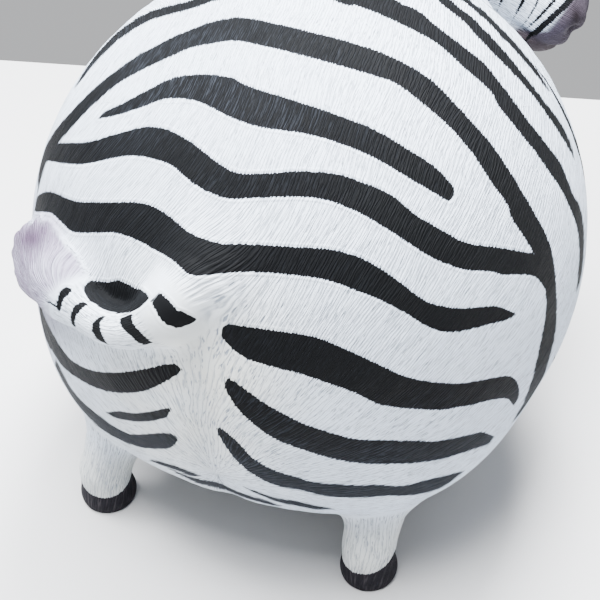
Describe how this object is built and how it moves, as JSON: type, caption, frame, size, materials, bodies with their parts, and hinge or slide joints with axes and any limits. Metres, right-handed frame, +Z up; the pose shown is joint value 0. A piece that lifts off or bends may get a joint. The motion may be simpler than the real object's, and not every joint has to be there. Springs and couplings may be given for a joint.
{
  "type": "zebra figurine",
  "caption": "Fat round-bodied zebra figurine standing on stub legs, head turned to one side and tail curled against the rump; a decorative shelf or garden ornament.",
  "frame": {"origin": "on the floor, below the middle of the figure's bounding box", "axes": "+Z up, -Y the way the body faces, so +X is the animal's left; the head is turned towards -X"},
  "size_m": [0.15, 0.1928, 0.1573],
  "materials": {
    "painted_resin": "hand-painted matt resin: warm white with soft black stripes, grey-lilac muzzle and tail tuft, dark hooves"
  },
  "bodies": {
    "root": {"zebra": "painted_resin"}
  },
  "joints": []
}
